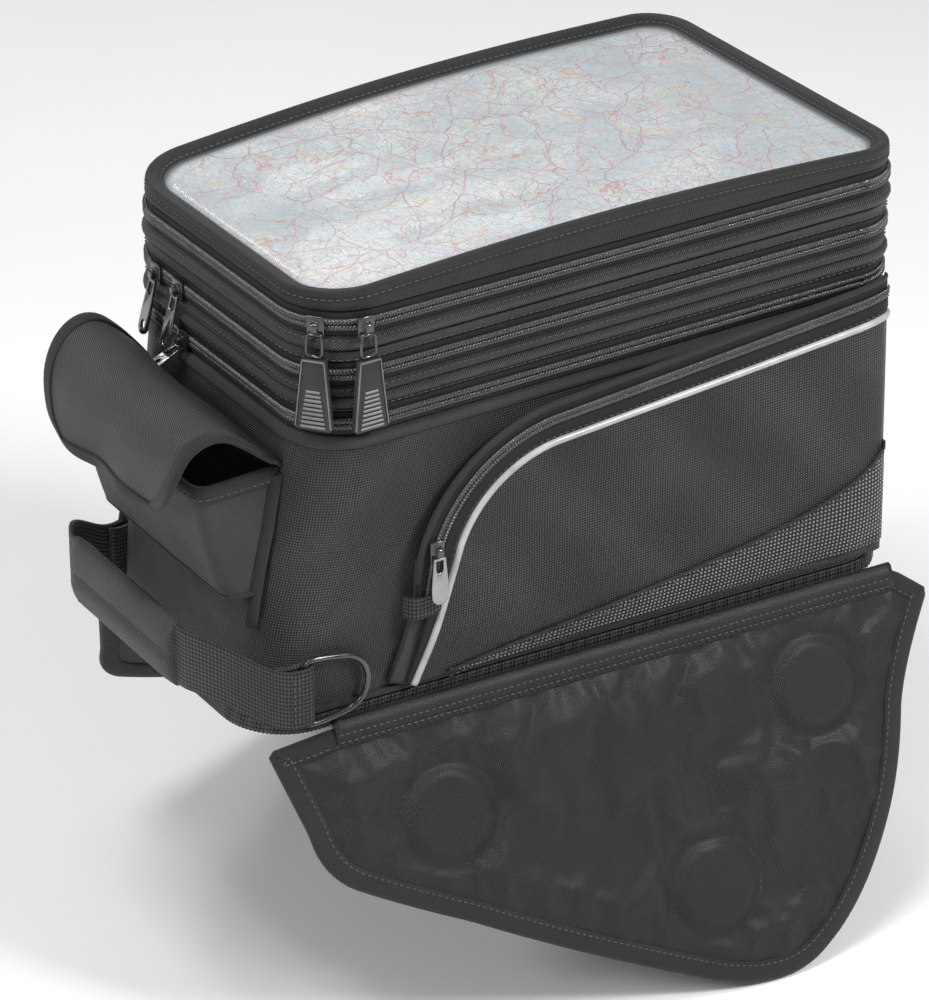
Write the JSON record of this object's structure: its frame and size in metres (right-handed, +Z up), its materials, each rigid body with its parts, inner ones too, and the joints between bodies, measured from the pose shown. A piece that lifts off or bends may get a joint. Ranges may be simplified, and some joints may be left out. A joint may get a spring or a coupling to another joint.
{
  "type": "tank bag",
  "caption": "Expandable tank bag with a zipped map lid, side pockets, an end pouch, a carry handle, strap rings and magnetic flaps that drape over the tank.",
  "frame": {"origin": "centre of the flat underside that rests on the tank", "axes": "+Z up, +X from the handle end to the front end, -Y towards the right side"},
  "size_m": [0.4872, 0.44, 0.4882],
  "materials": {
    "twill_nylon": "coated nylon twill, matt with a soft sheen",
    "plain_weave_nylon": "tight plain-weave nylon, matt",
    "binding_tape": "woven twill binding, matt",
    "ribbed_webbing": "ribbed polyester webbing, matt",
    "plastic_board": "stiff plastic board, matt",
    "anti_slip_sheet": "soft anti-slip sheet, matt",
    "zip_tape": "zip tape with nylon coil teeth, satin",
    "clear_film": "clear soft film, glossy and slightly wavy",
    "map_paper": "printed paper, matt",
    "black_enamel": "black enamel, glossy",
    "nickel": "nickel plate, bright",
    "moulded_rubber": "moulded rubber, satin",
    "reflective_piping": "silver reflective film over a cord",
    "plated_steel": "plated disc magnet, satin"
  },
  "bodies": {
    "bag": {"base_underside": "anti_slip_sheet", "base_board": "plastic_board", "base_tape": "ribbed_webbing", "rear_wall": "twill_nylon", "right_wall": "plain_weave_nylon", "left_wall": "plain_weave_nylon", "front_wall": "twill_nylon", "body_zip_half": "zip_tape", "end_pouch": "twill_nylon", "end_pouch_hood": "twill_nylon", "pocket_zip_right": "zip_tape", "pocket_zip_left": "zip_tape", "handle_anchor_right": "ribbed_webbing", "handle_anchor_left": "ribbed_webbing"},
    "mid_ring": {"mid_ring_zip_lower_half": "zip_tape", "mid_ring_band": "twill_nylon", "mid_ring_zip_upper_half": "zip_tape", "mid_ring_gusset": "plain_weave_nylon"},
    "top_ring": {"top_ring_zip_lower_half": "zip_tape", "top_ring_band": "twill_nylon", "top_ring_zip_upper_half": "zip_tape", "top_ring_gusset": "plain_weave_nylon"},
    "lid": {"lid_zip_half": "zip_tape", "lid_rim": "binding_tape", "lid_backing": "twill_nylon", "map_sheet": "map_paper", "map_window": "clear_film"},
    "lid_runner_right": {"lid_slider_right": "black_enamel"},
    "lid_runner_left": {"lid_slider_left": "black_enamel"},
    "lid_tab_right": {"lid_pull_bail_right": "black_enamel", "lid_pull_right": "moulded_rubber"},
    "lid_tab_left": {"lid_pull_bail_left": "black_enamel", "lid_pull_left": "moulded_rubber"},
    "upper_zip_runner_right": {"upper_zip_slider_right": "nickel"},
    "upper_zip_runner_left": {"upper_zip_slider_left": "nickel"},
    "upper_zip_tab_right": {"upper_zip_pull_right": "nickel"},
    "upper_zip_tab_left": {"upper_zip_pull_left": "nickel"},
    "lower_zip_runner": {"lower_zip_slider": "nickel"},
    "lower_zip_tab": {"lower_zip_pull": "nickel"},
    "end_flap": {"end_pouch_flap": "twill_nylon"},
    "handle": {"handle_webbing": "ribbed_webbing", "handle_sleeve": "twill_nylon"},
    "side_pocket_right": {"pocket_panel_right": "plain_weave_nylon", "pocket_piping_right": "reflective_piping"},
    "side_pocket_left": {"pocket_panel_left": "plain_weave_nylon", "pocket_piping_left": "reflective_piping"},
    "pocket_runner_right": {"pocket_slider_right": "black_enamel"},
    "pocket_runner_left": {"pocket_slider_left": "black_enamel"},
    "pocket_tab_right": {"pocket_pull_right": "nickel"},
    "pocket_tab_left": {"pocket_pull_left": "nickel"},
    "ring_right": {"d_ring_right": "black_enamel"},
    "ring_left": {"d_ring_left": "black_enamel"},
    "magnet_flap_right": {"magnetic_flap_right": "twill_nylon", "flap_magnet_rear_right": "plated_steel", "flap_magnet_low_right": "plated_steel", "flap_magnet_front_right": "plated_steel"},
    "magnet_flap_left": {"magnetic_flap_left": "twill_nylon", "flap_magnet_rear_left": "plated_steel", "flap_magnet_low_left": "plated_steel", "flap_magnet_front_left": "plated_steel"}
  },
  "joints": [
    {"name": "expander_lower", "type": "slide", "parent": "bag", "child": "mid_ring", "axis": [0, 0, 1], "range_m": [0, 0.042]},
    {"name": "expander_upper", "type": "slide", "parent": "mid_ring", "child": "top_ring", "axis": [0, 0, 1], "range_m": [0, 0.042]},
    {"name": "lid_hinge", "type": "hinge", "parent": "top_ring", "child": "lid", "pos_m": [0.2005, 0, 0.26225], "axis": [0, 1, 0], "range_deg": [0, 110]},
    {"name": "lid_slider_travel_right", "type": "slide", "parent": "top_ring", "child": "lid_runner_right", "axis": [0.9991, -0.0414, 0], "range_m": [0, 0.32]},
    {"name": "lid_slider_travel_left", "type": "hinge", "parent": "top_ring", "child": "lid_runner_left", "pos_m": [-0.16036, -0.06662, 0.26225], "axis": [0, 0, -1], "range_deg": [0, 36]},
    {"name": "lid_tab_swing_right", "type": "hinge", "parent": "lid_runner_right", "child": "lid_tab_right", "pos_m": [-0.17124, -0.11201, 0.25795], "axis": [-0.9991, 0.0414, 0], "range_deg": [0, 150]},
    {"name": "lid_tab_swing_left", "type": "hinge", "parent": "lid_runner_left", "child": "lid_tab_left", "pos_m": [-0.19573, -0.09571, 0.25795], "axis": [-0.6352, 0.7724, 0], "range_deg": [0, 150]},
    {"name": "upper_zip_slider_travel_right", "type": "slide", "parent": "mid_ring", "child": "upper_zip_runner_right", "axis": [0, -1, 0], "range_m": [0, 0.095]},
    {"name": "upper_zip_slider_travel_left", "type": "hinge", "parent": "mid_ring", "child": "upper_zip_runner_left", "pos_m": [-0.16065, 0.06667, 0.2315], "axis": [0, 0, -1], "range_deg": [0, 85]},
    {"name": "upper_zip_tab_swing_right", "type": "hinge", "parent": "upper_zip_runner_right", "child": "upper_zip_tab_right", "pos_m": [-0.20645, 0.03733, 0.2272], "axis": [0, 1, 0], "range_deg": [0, 130]},
    {"name": "upper_zip_tab_swing_left", "type": "hinge", "parent": "upper_zip_runner_left", "child": "upper_zip_tab_left", "pos_m": [-0.20645, 0.062, 0.2272], "axis": [0, 1, 0], "range_deg": [0, 130]},
    {"name": "lower_zip_slider_travel", "type": "slide", "parent": "bag", "child": "lower_zip_runner", "axis": [0, -1, 0], "range_m": [0, 0.085]},
    {"name": "lower_zip_tab_swing", "type": "hinge", "parent": "lower_zip_runner", "child": "lower_zip_tab", "pos_m": [-0.20675, 0.03335, 0.19645], "axis": [0, -1, 0], "range_deg": [0, 55]},
    {"name": "end_flap_hinge", "type": "hinge", "parent": "bag", "child": "end_flap", "pos_m": [-0.2405, 0, 0.1903], "axis": [0, 1, 0], "range_deg": [0, 80]},
    {"name": "handle_swing", "type": "hinge", "parent": "bag", "child": "handle", "pos_m": [-0.2195, 0, 0.031], "axis": [0, 1, 0], "range_deg": [-20, 6]},
    {"name": "side_pocket_hinge_right", "type": "hinge", "parent": "bag", "child": "side_pocket_right", "pos_m": [0.02, -0.115, 0.0168], "axis": [0.9955, -0.0944, 0], "range_deg": [0, 18]},
    {"name": "side_pocket_hinge_left", "type": "hinge", "parent": "bag", "child": "side_pocket_left", "pos_m": [0.02, 0.115, 0.0168], "axis": [-0.9955, -0.0944, 0], "range_deg": [0, 18]},
    {"name": "pocket_slider_travel_right", "type": "hinge", "parent": "side_pocket_right", "child": "pocket_runner_right", "pos_m": [-0.0417, -0.1157, 0.0858], "axis": [0.0435, 0.9977, 0.0513], "range_deg": [0, 66]},
    {"name": "pocket_slider_travel_left", "type": "hinge", "parent": "side_pocket_left", "child": "pocket_runner_left", "pos_m": [-0.0417, 0.1157, 0.0858], "axis": [-0.0435, 0.9977, -0.0513], "range_deg": [0, 66]},
    {"name": "pocket_tab_swing_right", "type": "hinge", "parent": "pocket_runner_right", "child": "pocket_tab_right", "pos_m": [-0.12874, -0.11896, 0.10527], "axis": [-0.9976, 0.0694, 0], "range_deg": [0, 130]},
    {"name": "pocket_tab_swing_left", "type": "hinge", "parent": "pocket_runner_left", "child": "pocket_tab_left", "pos_m": [-0.12874, 0.11896, 0.10527], "axis": [0.9976, 0.0694, 0], "range_deg": [0, 130]},
    {"name": "d_ring_swing_right", "type": "hinge", "parent": "bag", "child": "ring_right", "pos_m": [-0.207, -0.0988, 0.031], "axis": [0, 0, -1], "range_deg": [0, 110]},
    {"name": "d_ring_swing_left", "type": "hinge", "parent": "bag", "child": "ring_left", "pos_m": [-0.207, 0.0988, 0.031], "axis": [0, 0, 1], "range_deg": [0, 110]},
    {"name": "magnet_flap_hinge_right", "type": "hinge", "parent": "bag", "child": "magnet_flap_right", "pos_m": [0, -0.11616, 0.002], "axis": [-0.9952, 0.0983, 0], "range_deg": [0, 60]},
    {"name": "magnet_flap_hinge_left", "type": "hinge", "parent": "bag", "child": "magnet_flap_left", "pos_m": [0, 0.11616, 0.002], "axis": [0.9952, 0.0983, 0], "range_deg": [0, 60]}
  ]
}
